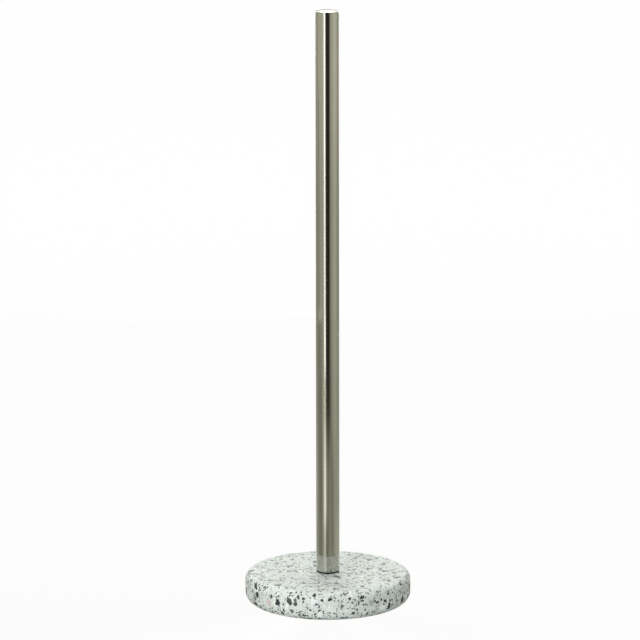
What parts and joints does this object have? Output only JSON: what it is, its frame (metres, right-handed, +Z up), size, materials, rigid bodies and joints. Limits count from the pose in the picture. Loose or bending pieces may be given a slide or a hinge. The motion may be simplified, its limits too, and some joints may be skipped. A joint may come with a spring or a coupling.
{
  "type": "paper towel holder",
  "caption": "Upright paper towel holder: a polished steel tube post screwed to a heavy round terrazzo base with rounded edges.",
  "frame": {"origin": "on the surface that the holder stands on, under the post's axis", "axes": "+Z up along the post, -Y the front, +X to the right seen from the front"},
  "size_m": [0.0904, 0.0904, 0.3269],
  "materials": {
    "terrazzo": "gloss",
    "polished_steel": "polished",
    "zinc_steel": "satin",
    "black_rubber": "satin",
    "grey_rubber": "matte"
  },
  "bodies": {
    "root": {"stone_base": "terrazzo", "post_gasket": "black_rubber", "post_tube": "polished_steel", "threaded_insert": "zinc_steel", "top_cap": "polished_steel", "clamp_screw": "zinc_steel", "lock_washer": "zinc_steel", "flat_washer": "zinc_steel", "foot_back_right": "grey_rubber", "foot_back_left": "grey_rubber", "foot_front_left": "grey_rubber", "foot_front_right": "grey_rubber"}
  },
  "joints": []
}
